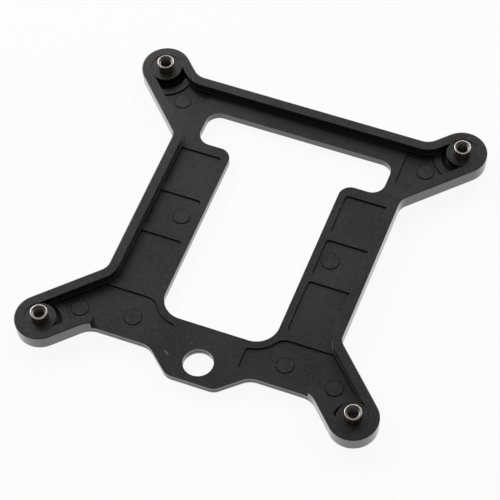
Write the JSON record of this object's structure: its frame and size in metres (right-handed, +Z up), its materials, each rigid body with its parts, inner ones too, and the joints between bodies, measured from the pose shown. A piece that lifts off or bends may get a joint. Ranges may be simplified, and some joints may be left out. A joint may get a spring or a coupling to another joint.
{
  "type": "plastic cpu cooler backplate",
  "caption": "Black moulded plastic backplate for a processor cooler: a rimmed frame with a central window, a front tab with a hole, and threaded metal inserts in its ears.",
  "frame": {"origin": "middle of the square of inserts, on the flat underside", "axes": "+Z up out of the rimmed face, along the inserts; -Y towards the tab; +X to the right seen from the tab"},
  "size_m": [0.0868, 0.0868, 0.0062],
  "materials": {
    "plate": "black, finely textured moulding",
    "insert": "plated, smooth turned"
  },
  "bodies": {
    "root": {"backplate": "plate", "insert_front_left": "insert", "insert_front_right": "insert", "insert_rear_left": "insert", "insert_rear_right": "insert"}
  },
  "joints": []
}
